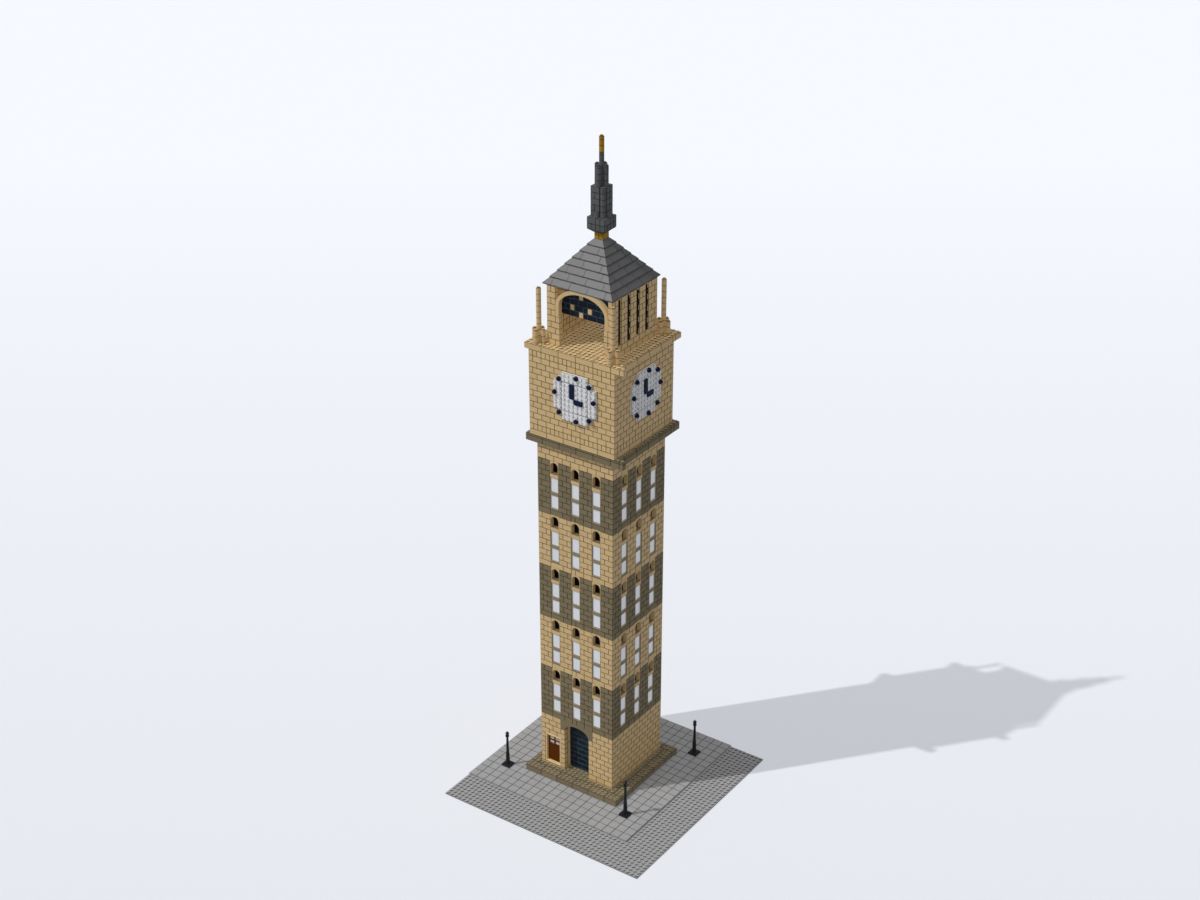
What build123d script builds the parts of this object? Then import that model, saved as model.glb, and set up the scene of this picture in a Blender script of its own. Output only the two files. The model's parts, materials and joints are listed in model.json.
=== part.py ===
from build123d import *
import os

os.makedirs("parts", exist_ok=True)

# A clock tower built from interlocking toy bricks, on a square baseplate.
# Millimetres, +Z up. The origin is the centre of the baseplate's underside, the
# front with the door and the entrance arch faces -Y, and +X is to its right.

# ---- the brick system: stud pitch, course height and plate height
pitch = 8.0
course = 9.6
plate = 3.2

# ---- ground plates
baseplate_side = 48 * pitch
baseplate_thick = 1.6
paving_side = 40 * pitch
paving_thick = plate
plinth_thick = course
plinth_near_margin = 3 * pitch      # beyond the shaft on the front and right
plinth_far_margin = 2 * pitch       # beyond the shaft on the back and left
footing_thick = plate

# ---- shaft: one plain ground storey and the window storeys above it
shaft_side = 18 * pitch
wall_thick = 1 * pitch
storey_courses = 10
window_storeys = 5
storey_height = storey_courses * course

# ---- entrance door, in a frame one wall thick
door_frame_width = 4 * pitch
door_frame_height = 6 * course
door_frame_offset = 1 * pitch       # from the shaft's left corner
door_frame_bar = 3.0
door_leaf_thick = 3.2
door_leaf_setback = 4.0             # from the wall's face to the leaf's face
door_gap = 0.4                      # round the leaf, inside its frame
door_pin_radius = 1.0
door_pin_length = 1.6
door_pin_clearance = 0.08

# ---- entrance arch, in the middle of the front
arch_width = 8 * pitch
arch_height = 2 * course
arch_opening = 6 * pitch
arch_crown = 0.5 * course           # solid left over the middle of the opening
infill_thick = 1 * pitch
infill_setback = 2 * pitch          # from the wall's face to the infill's face

# ---- windows: three columns on each side of every window storey
window_columns = 3
window_width = 2 * pitch
window_spacing = 5 * pitch
window_sill_height = 1 * course
window_height = 6 * course
window_setback = 0.1 * pitch
window_pane_thick = 0.4 * pitch
head_height = storey_height - window_sill_height - window_height

# ---- band, lower cornice, clock room and the deck over it
band_height = 3 * course
cornice_height = course + plate
cornice_lip = 1 * pitch             # beyond the clock room at the left, right and back
cornice_return = 1 * pitch          # how much further the front row reaches to the right
clock_room_overhang = 1 * pitch
clock_room_height = 15 * course
deck_thick = course

# ---- dials
dial_width = 10 * pitch
dial_height = 10 * pitch
dial_panel_width = 6 * pitch
dial_side_height = 6 * pitch
dial_thick = plate
dial_rise = 10.5 * pitch            # dial centre above the clock room's floor
front_dial_shift = 1 * pitch        # the front dial stands off the tower's centre line
mark_radius = 3.9
mark_thick = plate
mark_shift = 0.5 * pitch            # the marks sit beside the dial's centre lines
minute_hand_length = 3 * pitch
hour_hand_length = 2 * pitch
hand_width = 1 * pitch
hand_thick = plate

# ---- belfry
belfry_setback_near = 2 * pitch     # from the clock room's front and right faces
belfry_setback_far = 3 * pitch      # from its back and left faces
belfry_height = 10 * course
belfry_wall = 1 * pitch
belfry_corner = 2 * pitch           # width of the full height corner pier
belfry_inner_pier = 1 * pitch       # width of the low pier under each arch leg
belfry_arch_opening = 10 * pitch
belfry_arch_rim = 0.75 * pitch      # width of the arch's front edge
belfry_arch_leg = 2 * course        # straight part of each leg
belfry_arch_seat = 5 * course       # height of the arch's feet above the deck
belfry_arch_crown = 0.35 * course   # solid left over the middle of the opening
slit_count = 4
slit_width = 1 * pitch
slit_spacing = 3 * pitch
slit_first = 2.5 * pitch            # from the wall's near corner to the first slit's middle
slit_sill_height = 2 * course
slit_head_height = 0.5 * course
strip_setback = 0.25 * pitch
screen_thick = 1 * pitch
screen_sill_height = 5 * course
screen_setback = 1 * pitch          # behind the wall with the arch

# ---- roof and spire
roof_overhang = 1 * pitch           # beyond the belfry's back and left faces
roof_courses = 7
roof_top_side = 2 * pitch
roof_shell = 2 * pitch              # level thickness of the hollow roof
roof_cap_courses = 2
neck_height = 1 * course
spire_base_side = 4 * pitch
spire_flare_height = 2 * plate
spire_base_height = 2 * course + 2 * plate
spire_body_side = 3 * pitch
spire_body_height = 5 * course
spire_column_radius = 3.9
spire_column_height = 3 * course + plate
rod_height = 2 * course             # the middle column, above the four round it
finial_radius = 0.5 * pitch
finial_height = 2 * course + 2 * plate
stud_radius = 0.3 * pitch
stud_height = 1.7

# ---- corner pinnacles on the deck: five round columns on a cross
pinnacle_side = 3 * pitch
pinnacle_base_height = plate
pinnacle_radius = 3.9
pinnacle_cluster_height = 2 * course
pinnacle_column_height = 9 * course

# ---- street lamps on the paving
lamp_spacing_x = 30 * pitch
lamp_spacing_y = 26 * pitch
lamp_foot_side = 2 * pitch
lamp_foot_height = plate
lamp_foot_radius = 0.5 * pitch
lamp_neck_radius = 0.25 * pitch
lamp_height = 7 * course
lamp_head_radius = 0.5 * pitch
lamp_head_height = course
lamp_disc_height = 0.35 * course

# ---- places worked out from the sizes above
paving_top = baseplate_thick + paving_thick
plinth_top = paving_top + plinth_thick
ground_floor = plinth_top + footing_thick
shaft_top = ground_floor + (1 + window_storeys) * storey_height
cornice_bottom = shaft_top + band_height
clock_floor = cornice_bottom + cornice_height
deck_bottom = clock_floor + clock_room_height
deck_top = deck_bottom + deck_thick
belfry_top = deck_top + belfry_height
clock_side = shaft_side + 2 * clock_room_overhang

# the paving fills the baseplate's back left corner, and the tower is at its centre
tower_x = -(baseplate_side - paving_side) / 2
tower_y = (baseplate_side - paving_side) / 2

clock_left = tower_x - clock_side / 2
clock_right = tower_x + clock_side / 2
clock_front = tower_y - clock_side / 2
clock_back = tower_y + clock_side / 2
belfry_left = clock_left + belfry_setback_far
belfry_right = clock_right - belfry_setback_near
belfry_front = clock_front + belfry_setback_near
belfry_back = clock_back - belfry_setback_far
belfry_x = (belfry_left + belfry_right) / 2
belfry_y = (belfry_front + belfry_back) / 2
belfry_side = belfry_right - belfry_left
roof_side = belfry_side + roof_overhang
roof_x = belfry_right - roof_side / 2
roof_y = belfry_front + roof_side / 2

# round columns stand one stud pitch away on the four sides of a middle column
around = ((-pitch, 0), (pitch, 0), (0, -pitch), (0, pitch))


def block(x0, x1, y0, y1, z0, z1):
    """A box between two corners."""
    box = Box(x1 - x0, y1 - y0, z1 - z0, align=(Align.MIN, Align.MIN, Align.MIN))
    return Pos(x0, y0, z0) * box


def slab(side_x, side_y, z0, z1, x=tower_x, y=tower_y):
    """A box centred on a point in plan."""
    return block(x - side_x / 2, x + side_x / 2, y - side_y / 2, y + side_y / 2, z0, z1)


def post(radius, z0, z1, x, y):
    """An upright cylinder."""
    return Pos(x, y, z0) * Cylinder(radius, z1 - z0, align=(Align.CENTER, Align.CENTER, Align.MIN))


def quarter_turns(solid, turns=(0, 1, 2, 3)):
    """The same piece on the tower's sides: 0 is the front, 1 right, 2 back, 3 left."""
    centre = Pos(tower_x, tower_y, 0)
    return [centre * Rot(0, 0, 90 * turn) * centre.inverse() * solid for turn in turns]


def half_turn(solid):
    """The same piece on the belfry's opposite side."""
    centre = Pos(belfry_x, belfry_y, 0)
    return centre * Rot(0, 0, 180) * centre.inverse() * solid


def write(name, solids):
    """Write one node's solids to its STEP file."""
    solids = solids if isinstance(solids, list) else [solids]
    node = solids[0] if len(solids) == 1 else Compound(children=solids)
    export_step(node, f"parts/{name}.step")


# ---- ground
def ground():
    write("baseplate", slab(baseplate_side, baseplate_side, 0, baseplate_thick, 0, 0))
    write("paving", slab(paving_side, paving_side, baseplate_thick, paving_top))
    half = shaft_side / 2
    plinth = block(
        tower_x - half - plinth_far_margin, tower_x + half + plinth_near_margin,
        tower_y - half - plinth_near_margin, tower_y + half + plinth_far_margin,
        paving_top, plinth_top,
    )
    write("plinth", plinth)


# ---- ground storey
def ground_storey():
    left = tower_x - shaft_side / 2
    right = tower_x + shaft_side / 2
    front = tower_y - shaft_side / 2
    back = tower_y + shaft_side / 2
    top = ground_floor + storey_height
    inner_front = front + wall_thick
    inner_back = back - wall_thick
    walls = block(left, right, inner_back, back, ground_floor, top)
    walls += block(left, left + wall_thick, inner_front, back, ground_floor, top)
    walls += block(right - wall_thick, right, inner_front, back, ground_floor, top)
    write("ground_plain_walls", walls)

    door_left = left + door_frame_offset
    door_right = door_left + door_frame_width
    door_top = ground_floor + door_frame_height
    arch_left = tower_x - arch_width / 2
    arch_right = tower_x + arch_width / 2
    arch_bottom = top - arch_height
    write("ground_corner_pier", block(left, door_left, front, inner_front, ground_floor, top))
    over_door = block(door_left, door_right, front, inner_front, door_top, arch_bottom)
    over_door += block(door_left, arch_left, front, inner_front, arch_bottom, top)
    write("ground_over_door", over_door)
    open_left = tower_x - arch_opening / 2
    open_right = tower_x + arch_opening / 2
    infill_front = front + infill_setback
    infill_back = infill_front + infill_thick
    # the footing is left out in the recess, where the plinth's studs run on to the infill
    footing = slab(shaft_side, shaft_side, plinth_top, ground_floor)
    footing -= block(open_left, open_right, front - 1, infill_back, plinth_top - 1, ground_floor + 1)
    write("footing", footing)
    middle_pier = block(door_right, open_left, front, inner_front, ground_floor, arch_bottom)
    write("ground_middle_pier", middle_pier)
    right_pier = block(open_right, right, front, inner_front, ground_floor, arch_bottom)
    right_pier += block(arch_right, right, front, inner_front, arch_bottom, top)
    write("ground_right_pier", right_pier)
    write("entrance_arch", entrance_arch(arch_left, arch_right, front, arch_bottom, top))
    infill = block(arch_left, arch_right, infill_front, infill_back, ground_floor, top)
    infill += block(open_left, open_right, infill_front, infill_back, plinth_top, ground_floor)
    write("entrance_infill", infill)
    door(door_left, front, door_top)


def arch_cut(centre, half_width, spring, rise, y0, y1):
    """The space under an arch: a half ellipse above its springing line."""
    with BuildPart() as cut:
        with BuildSketch(Plane.XZ.offset(-y0)):
            with Locations((centre, spring)):
                Ellipse(half_width, rise)
                Rectangle(2 * half_width, rise, align=(Align.CENTER, Align.MAX), mode=Mode.SUBTRACT)
                Rectangle(2 * half_width, 2 * rise, align=(Align.CENTER, Align.MAX), mode=Mode.SUBTRACT)
        extrude(amount=-(y1 - y0))
    return cut.part


def entrance_arch(x0, x1, front, z0, z1):
    """The one-piece arch over the entrance, two courses high."""
    rise = z1 - arch_crown - z0
    body = block(x0, x1, front, front + wall_thick, z0, z1)
    return body - arch_cut((x0 + x1) / 2, arch_opening / 2, z0, rise, front - 1, front + wall_thick + 1)


def door(x0, front, top):
    """The door frame, and the leaf that turns on two pins in it."""
    x1 = x0 + door_frame_width
    inside = front + wall_thick
    frame = block(x0, x1, front, inside, ground_floor, top)
    bar = door_frame_bar
    frame -= block(x0 + bar, x1 - bar, front - 1, inside + 1, ground_floor + bar, top - bar)
    leaf_y = front + door_leaf_setback + door_leaf_thick / 2
    hinge_x = x0 + bar + door_gap + door_leaf_thick / 2
    leaf_bottom = ground_floor + bar + door_gap
    leaf_top = top - bar - door_gap
    hole = door_pin_radius + door_pin_clearance
    pocket = door_pin_length + door_pin_clearance
    frame -= post(hole, leaf_bottom - pocket, leaf_top + pocket, hinge_x, leaf_y)
    write("door_frame", frame)
    leaf = block(hinge_x, x1 - bar - door_gap, leaf_y - door_leaf_thick / 2,
                 leaf_y + door_leaf_thick / 2, leaf_bottom, leaf_top)
    leaf += post(door_leaf_thick / 2, leaf_bottom, leaf_top, hinge_x, leaf_y)
    leaf += post(door_pin_radius, leaf_bottom - door_pin_length, leaf_top + door_pin_length, hinge_x, leaf_y)
    write("door_leaf", leaf)


# ---- window storeys
def window_centres():
    return [(i - (window_columns - 1) / 2) * window_spacing for i in range(window_columns)]


def storey_walls(floor):
    """Front, right, back and left walls of one window storey, with a hole for each column."""
    front = tower_y - shaft_side / 2
    half = shaft_side / 2
    walls = []
    for long_wall, turns in ((True, (0, 2)), (False, (1, 3))):
        reach = half if long_wall else half - wall_thick
        wall = block(tower_x - reach, tower_x + reach, front, front + wall_thick,
                     floor, floor + storey_height)
        for offset in window_centres():
            x = tower_x + offset
            wall -= block(x - window_width / 2, x + window_width / 2, front - 1,
                          front + wall_thick + 1, floor + window_sill_height,
                          floor + storey_height + 1)
        walls += quarter_turns(wall, turns)
    return walls


def storey_windows(floor):
    """The glazed window units that close the holes, a little behind the wall's face."""
    front = tower_y - shaft_side / 2
    bottom = floor + window_sill_height
    panes = []
    for offset in window_centres():
        x = tower_x + offset
        pane = block(x - window_width / 2, x + window_width / 2, front + window_setback,
                     front + window_setback + window_pane_thick, bottom, bottom + window_height)
        panes += quarter_turns(pane)
    return panes


def window_heads():
    """The contrasting piece over each window column, up to the storey's top."""
    front = tower_y - shaft_side / 2
    heads = []
    for storey in range(window_storeys):
        top = ground_floor + (storey + 2) * storey_height
        for offset in window_centres():
            x = tower_x + offset
            head = block(x - window_width / 2, x + window_width / 2, front, front + wall_thick,
                         top - head_height, top)
            heads += quarter_turns(head)
    return heads


def shaft():
    for storey in range(window_storeys):
        floor = ground_floor + (storey + 1) * storey_height
        write(f"storey_{storey + 1}_walls", storey_walls(floor))
        write(f"storey_{storey + 1}_windows", storey_windows(floor))
    write("window_heads", window_heads())


# ---- clock room
def ring_walls(side, thick, z0, z1):
    """Four plain walls round a square room, front and back over the full width."""
    half = side / 2
    front = tower_y - half
    long_wall = block(tower_x - half, tower_x + half, front, front + thick, z0, z1)
    short_wall = block(tower_x - half + thick, tower_x + half - thick, front, front + thick, z0, z1)
    return quarter_turns(long_wall, (0, 2)) + quarter_turns(short_wall, (1, 3))


def cornice(z0, z1):
    """A slab flush with the clock room's front; its front row runs on to the right."""
    body = block(clock_left - cornice_lip, clock_right + cornice_lip,
                 clock_front, clock_back + cornice_lip, z0, z1)
    row = block(clock_right, clock_right + cornice_lip + cornice_return,
                clock_front, clock_front + pitch, z0, z1)
    return body + row


def clock_room():
    write("band_walls", ring_walls(shaft_side, wall_thick, shaft_top, cornice_bottom))
    write("lower_cornice", cornice(cornice_bottom, clock_floor))
    write("clock_room_walls", ring_walls(clock_side, wall_thick, clock_floor, deck_bottom))
    write("belfry_deck", cornice(deck_bottom, deck_top))
    dials()


def on_each_side(solid):
    """A dial's piece, shifted with the front dial and centred on the other sides."""
    return [Pos(front_dial_shift, 0, 0) * solid] + quarter_turns(solid, (1, 2, 3))


def dials():
    """White dials of studded plates on the four sides, with dark marks and hands."""
    z = clock_floor + dial_rise
    face = clock_front - dial_thick
    half_panel = dial_panel_width / 2
    half_wing = dial_side_height / 2
    dial = block(tower_x - half_panel, tower_x + half_panel,
                 face, clock_front, z - dial_height / 2, z + dial_height / 2)
    dial += block(tower_x - dial_width / 2, tower_x + dial_width / 2,
                  face, clock_front, z - half_wing, z + half_wing)
    dial += block(tower_x - half_panel - pitch, tower_x + half_panel + pitch,
                  face, clock_front, z - half_wing - pitch, z + half_wing + pitch)
    write("clock_dials", on_each_side(dial))

    tip = dial_height / 2 - pitch / 2
    corner_x = half_panel + pitch / 2
    corner_z = half_wing + pitch / 2
    places = [(mark_shift, tip), (mark_shift, -tip), (-tip, mark_shift), (tip, mark_shift)]
    places += [(sx * corner_x, sz * corner_z) for sx in (-1, 1) for sz in (-1, 1)]
    marks = []
    for dx, dz in places:
        disc = Cylinder(mark_radius, mark_thick, align=(Align.CENTER, Align.CENTER, Align.MIN))
        mark = Pos(tower_x + dx, face, z + dz) * Rot(90, 0, 0) * disc
        marks += on_each_side(mark)
    write("dial_marks", marks)

    minute = block(tower_x - hand_width, tower_x, face - hand_thick, face, z, z + minute_hand_length)
    hour = block(tower_x, tower_x + hour_hand_length, face - hand_thick, face, z - hand_width, z)
    write("minute_hands", on_each_side(minute))
    write("hour_hands", on_each_side(hour))


# ---- belfry
def belfry():
    seat = deck_top + belfry_arch_seat
    front = belfry_front
    inside = belfry_front + belfry_wall
    leg_left = belfry_left + belfry_corner
    open_left = leg_left + belfry_inner_pier
    open_right = open_left + belfry_arch_opening
    leg_right = open_right + belfry_inner_pier
    left_pier = block(belfry_left, leg_left, front, inside, deck_top, belfry_top)
    left_pier += block(belfry_left, open_left, front, inside, deck_top, seat)
    right_pier = block(leg_right, belfry_right, front, inside, deck_top, belfry_top)
    right_pier += block(open_right, belfry_right, front, inside, deck_top, seat)
    write("belfry_corner_piers", [
        left_pier, right_pier, half_turn(left_pier), half_turn(right_pier),
    ])
    arch = belfry_arch(leg_left, leg_right, seat)
    write("belfry_arches", [arch, half_turn(arch)])

    side = block(belfry_right - belfry_wall, belfry_right, inside, belfry_back - belfry_wall,
                 deck_top, belfry_top)
    strips = []
    for i in range(slit_count):
        y = belfry_front + slit_first + i * slit_spacing
        slit_bottom = deck_top + slit_sill_height
        slit_top = belfry_top - slit_head_height
        side -= block(belfry_right - belfry_wall - 1, belfry_right + 1,
                      y - slit_width / 2, y + slit_width / 2, slit_bottom, slit_top)
        strip = block(belfry_right - belfry_wall, belfry_right - strip_setback,
                      y - slit_width / 2, y + slit_width / 2, slit_bottom, slit_top)
        strips += [strip, half_turn(strip)]
    write("belfry_side_walls", [side, half_turn(side)])
    write("belfry_slit_strips", strips)

    screen_front = inside + screen_setback
    screen = block(belfry_left + belfry_wall, belfry_right - belfry_wall, screen_front,
                   screen_front + screen_thick, deck_top + screen_sill_height, belfry_top)
    write("belfry_screens", [screen, half_turn(screen)])


def belfry_arch(x0, x1, z0):
    """A thin arch with straight legs, cut off flat under the eaves."""
    centre = (x0 + x1) / 2
    front = belfry_front
    back = belfry_front + belfry_wall
    spring = z0 + belfry_arch_leg
    rise = belfry_top - belfry_arch_crown - spring
    half_open = (x1 - x0) / 2 - belfry_arch_rim
    legs = block(x0, x1, front, back, z0, spring)
    rim = arch_cut(centre, (x1 - x0) / 2, spring, rise + belfry_arch_rim, front, back)
    rim &= block(x0, x1, front, back, spring, belfry_top)
    arch = legs + rim
    arch -= block(centre - half_open, centre + half_open, front - 1, back + 1, z0 - 1, spring)
    arch -= arch_cut(centre, half_open, spring, rise, front - 1, back + 1)
    return arch


# ---- roof and spire
def pyramid(side, top_side, z0, z1):
    """A square frustum on the roof's axis."""
    with BuildPart() as solid:
        with BuildSketch(Plane.XY.offset(z0)):
            with Locations((roof_x, roof_y)):
                Rectangle(side, side)
        with BuildSketch(Plane.XY.offset(z1)):
            with Locations((roof_x, roof_y)):
                Rectangle(top_side, top_side)
        loft(ruled=True)
    return solid.part


def roof_and_spire():
    roof_top = belfry_top + roof_courses * course
    roof = pyramid(roof_side, roof_top_side, belfry_top, roof_top)
    narrowing = (roof_side - roof_top_side) / roof_courses
    room_courses = roof_courses - roof_cap_courses
    room_side = roof_side - 2 * roof_shell
    roof -= pyramid(room_side, room_side - room_courses * narrowing, belfry_top,
                    belfry_top + room_courses * course)
    write("roof", roof)
    neck_top = roof_top + neck_height
    write("spire_neck", slab(roof_top_side, roof_top_side, roof_top, neck_top, roof_x, roof_y))
    flare_top = neck_top + spire_flare_height
    base_top = neck_top + spire_base_height
    base = pyramid(roof_top_side, spire_base_side, neck_top, flare_top)
    base += slab(spire_base_side, spire_base_side, flare_top, base_top, roof_x, roof_y)
    write("spire_base", base)
    body_top = base_top + spire_body_height
    write("spire_body", slab(spire_body_side, spire_body_side, base_top, body_top, roof_x, roof_y))
    columns_top = body_top + spire_column_height
    rod_top = columns_top + rod_height
    columns = [post(spire_column_radius, body_top, rod_top, roof_x, roof_y)]
    for dx, dy in around:
        x = roof_x + dx
        y = roof_y + dy
        columns.append(post(spire_column_radius, body_top, columns_top, x, y))
    write("spire_columns", columns)
    finial = post(finial_radius, rod_top, rod_top + finial_height - stud_height, roof_x, roof_y)
    finial += post(stud_radius, rod_top, rod_top + finial_height, roof_x, roof_y)
    write("finial", finial)


# ---- pinnacles and lamps
def pinnacles():
    reach = clock_side / 2 - pinnacle_side / 2
    base_top = deck_top + pinnacle_base_height
    cluster_top = base_top + pinnacle_cluster_height
    column_top = base_top + pinnacle_column_height
    solids = []
    for sx in (-1, 1):
        for sy in (-1, 1):
            x = tower_x + sx * reach
            y = tower_y + sy * reach
            pinnacle = slab(pinnacle_side, pitch, deck_top, base_top, x, y)
            pinnacle += slab(pitch, pinnacle_side, deck_top, base_top, x, y)
            for dx, dy in around:
                pinnacle += post(pinnacle_radius, base_top, cluster_top, x + dx, y + dy)
            pinnacle += post(pinnacle_radius, base_top, column_top, x, y)
            solids.append(pinnacle)
    write("pinnacles", solids)


def lamp(x, y):
    """A tapered post on a square foot, with two discs round a thin head."""
    foot_top = paving_top + lamp_foot_height
    top = paving_top + lamp_height
    head = top - lamp_head_height
    body = slab(lamp_foot_side, lamp_foot_side, paving_top, foot_top, x, y)
    taper = Cone(lamp_foot_radius, lamp_neck_radius, head - foot_top,
                 align=(Align.CENTER, Align.CENTER, Align.MIN))
    body += Pos(x, y, foot_top) * taper
    body += post(lamp_neck_radius, head, top, x, y)
    body += post(lamp_head_radius, head, head + lamp_disc_height, x, y)
    body += post(lamp_head_radius, top - lamp_disc_height, top, x, y)
    return body


def lamps():
    half_x = lamp_spacing_x / 2
    half_y = lamp_spacing_y / 2
    write("lamp_posts", [
        lamp(tower_x + sx * half_x, tower_y + sy * half_y) for sx in (-1, 1) for sy in (-1, 1)
    ])


ground()
ground_storey()
shaft()
clock_room()
belfry()
roof_and_spire()
pinnacles()
lamps()
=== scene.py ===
# %% [markdown]
# # A clock tower built from toy bricks
# The tower stands on a square baseplate and is built on an 8 mm stud pitch.
# The CAD model gives every wall as one closed slab. Here each slab is laid again
# as separate bricks, so the joints, the studs and the small moulded edges show.
# %% Load the frame
import json
import math
import random
import bmesh
import bpy
from mathutils import Matrix, Vector


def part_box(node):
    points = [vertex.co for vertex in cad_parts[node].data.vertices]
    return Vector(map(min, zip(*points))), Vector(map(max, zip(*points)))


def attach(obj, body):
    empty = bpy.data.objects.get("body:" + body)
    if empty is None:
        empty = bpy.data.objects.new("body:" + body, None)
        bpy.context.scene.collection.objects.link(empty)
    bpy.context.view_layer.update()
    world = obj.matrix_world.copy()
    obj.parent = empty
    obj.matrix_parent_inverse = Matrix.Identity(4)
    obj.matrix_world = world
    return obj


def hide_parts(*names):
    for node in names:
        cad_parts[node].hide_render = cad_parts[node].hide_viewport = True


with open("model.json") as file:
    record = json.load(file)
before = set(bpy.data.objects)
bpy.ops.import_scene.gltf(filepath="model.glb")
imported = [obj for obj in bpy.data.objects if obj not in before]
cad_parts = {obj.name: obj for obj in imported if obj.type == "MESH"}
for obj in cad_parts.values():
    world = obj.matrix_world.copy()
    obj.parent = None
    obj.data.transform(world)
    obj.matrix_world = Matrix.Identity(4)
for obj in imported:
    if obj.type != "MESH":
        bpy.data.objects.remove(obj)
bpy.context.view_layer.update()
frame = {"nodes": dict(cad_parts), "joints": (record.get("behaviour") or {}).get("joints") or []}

# %% [markdown]
# ## The brick system
# Toy bricks of this kind share three sizes: the stud pitch, the height of a brick
# course and the height of a plate. Every place below is counted in these, from
# corners that the CAD model gives, so nothing has to be fitted by eye.
# %% Brick sizes and the tower's axis
PITCH = 0.008
COURSE = 0.0096
PLATE = 0.0032
STUD_RADIUS = 0.0024
STUD_HEIGHT = 0.0017
ROUND_RADIUS = 0.0039    # of a round brick or plate, just under half a pitch
GAP = 0.0001             # from a brick's face to the limit of its place
TIGHT = 0.00002          # the same where two blocks stand for one moulded piece
EDGE = 0.00046           # the rounded edge of a brick, half of a joint's width
# the tone of a joint, and also of the painted shade on the sides of studs
JOINT_AND_SHADE = 1.0              # the tone of an edge
# GLINT is a painted highlight on an edge
GLINT = -0.7             # the tone of an edge that catches the light
dice = random.Random(11)

shaft_low, shaft_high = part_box("footing")
axis = (shaft_low + shaft_high) / 2


def in_studs(length):
    return round(length / PITCH)


def in_courses(length):
    return round(length / COURSE)


SHAFT = in_studs(shaft_high.x - shaft_low.x)
print("tower axis", round(axis.x, 4), round(axis.y, 4), "and the shaft is", SHAFT, "studs wide")


def side(turn, x=axis.x, y=axis.y):
    """Front, right, back and left are turns 0 to 3 of a wall that faces -Y at the axis."""
    return Matrix.Translation((x, y, 0)) @ Matrix.Rotation(math.radians(90 * turn), 4, "Z")


# %% [markdown]
# ## Moulded plastic
# Real bricks are one plastic with small differences in tone from brick to brick and
# a faint flow pattern. Each face carries a number, its tone, as an attribute, and a
# colour ramp turns it into a shade: 0 is the plain colour, which CAD nodes have too,
# and 1 is a joint. The rounded edges get 1, because two edges side by side read as one
# dark joint, and they are dull. The sides of studs are painted dark too, as shade. The
# rim of a stud is painted lighter, as a highlight. A fine noise bends the gloss, because
# moulded faces are never quite flat.
# A picture could hold all this, but nodes stay sharp at any distance.
# %% Helpers for shader nodes
def add_node(tree, kind, values=None, operation=None):
    """A shader node with some of its inputs set, each by its name or number."""
    node = tree.nodes.new("ShaderNode" + kind)
    if operation:
        node.operation = operation
    for key, value in (values or {}).items():
        node.inputs[key].default_value = value
    return node


def join(tree, *wires):
    """Each wire goes from a node's output to a node's input."""
    for source, output, target, value in wires:
        tree.links.new(source.outputs[output], target.inputs[value])


# %% A plastic
def plastic(name, dark, light, joint=0.2, rough=0.36, bump=0.05, grain=900.0,
            speckle=0.1, specular=0.3, rim=0.12):
    """A moulded plastic between two shades, darker in its joints, painted lighter on its rims as a
    highlight.
    """
    material = bpy.data.materials.new(name)
    material.use_nodes = True
    tree = material.node_tree
    tree.nodes.clear()
    out = add_node(tree, "OutputMaterial")
    shader = add_node(tree, "BsdfPrincipled", {"Specular IOR Level": specular})
    where = add_node(tree, "TexCoord")
    flow = add_node(tree, "TexNoise", {"Scale": 130.0, "Detail": 3.0})
    tone = add_node(tree, "Attribute")
    tone.attribute_name = "tone"
    level = add_node(tree, "Math", {1: 0.5, 2: 0.4 - speckle / 2}, "MULTIPLY_ADD")
    blend = add_node(tree, "Math", {1: speckle}, "MULTIPLY_ADD")
    ramp = add_node(tree, "ValToRGB")
    # along the ramp: a painted highlight for rims, the light shade, the dark shade and a joint
    shades = ramp.color_ramp.elements
    shades[0].position = 0.08
    shades[0].color = (*[min(1.0, c * 1.15 + rim) for c in light], 1.0)
    shades[1].position = 0.85
    shades[1].color = (*[c * joint for c in dark], 1.0)
    for position, shade in ((0.28, light), (0.55, dark)):
        shades.new(position).color = (*shade, 1.0)
    fine = add_node(tree, "TexNoise", {"Scale": grain, "Detail": 4.0})
    gloss = add_node(tree, "MapRange", {"To Min": rough - 0.06, "To Max": rough + 0.08})
    dull = add_node(tree, "Math", operation="MAXIMUM")
    relief = add_node(tree, "Bump", {"Strength": bump, "Distance": 0.0003})
    join(tree,
         (where, "Object", flow, "Vector"), (where, "Object", fine, "Vector"),
         (tone, "Fac", level, 0), (flow, "Fac", blend, 0), (level, 0, blend, 2),
         (blend, 0, ramp, "Fac"), (ramp, "Color", shader, "Base Color"),
         (fine, "Fac", gloss, "Value"), (gloss, "Result", dull, 0), (tone, "Fac", dull, 1),
         (dull, 0, shader, "Roughness"), (fine, "Fac", relief, "Height"),
         (relief, "Normal", shader, "Normal"), (shader, "BSDF", out, "Surface"))
    return material


# %% [markdown]
# ## The colours
# The tower has a light and a dark tan for its walls, greys for its base, roof and
# spire, and dark blue for its screens and hands. `joint` says how much of a colour is
# left in its joints, and in the painted shade on the sides of its studs. It is small for
# pale colours, whose joints stand out most, and large for the near-black blue, whose
# edges are painted paler than its faces, as a highlight. The two greys of the base
# differ only in that.
# %% The tower's plastics
tan = plastic("tan_plastic", (0.66, 0.475, 0.237), (0.74, 0.535, 0.275), joint=0.13)
dark_tan = plastic("dark_tan_plastic", (0.205, 0.168, 0.10), (0.247, 0.202, 0.123), specular=0.12,
                   rim=0.09)
white = plastic("white_plastic", (0.84, 0.84, 0.86), (0.90, 0.90, 0.92), joint=0.15, specular=0.5)
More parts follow.
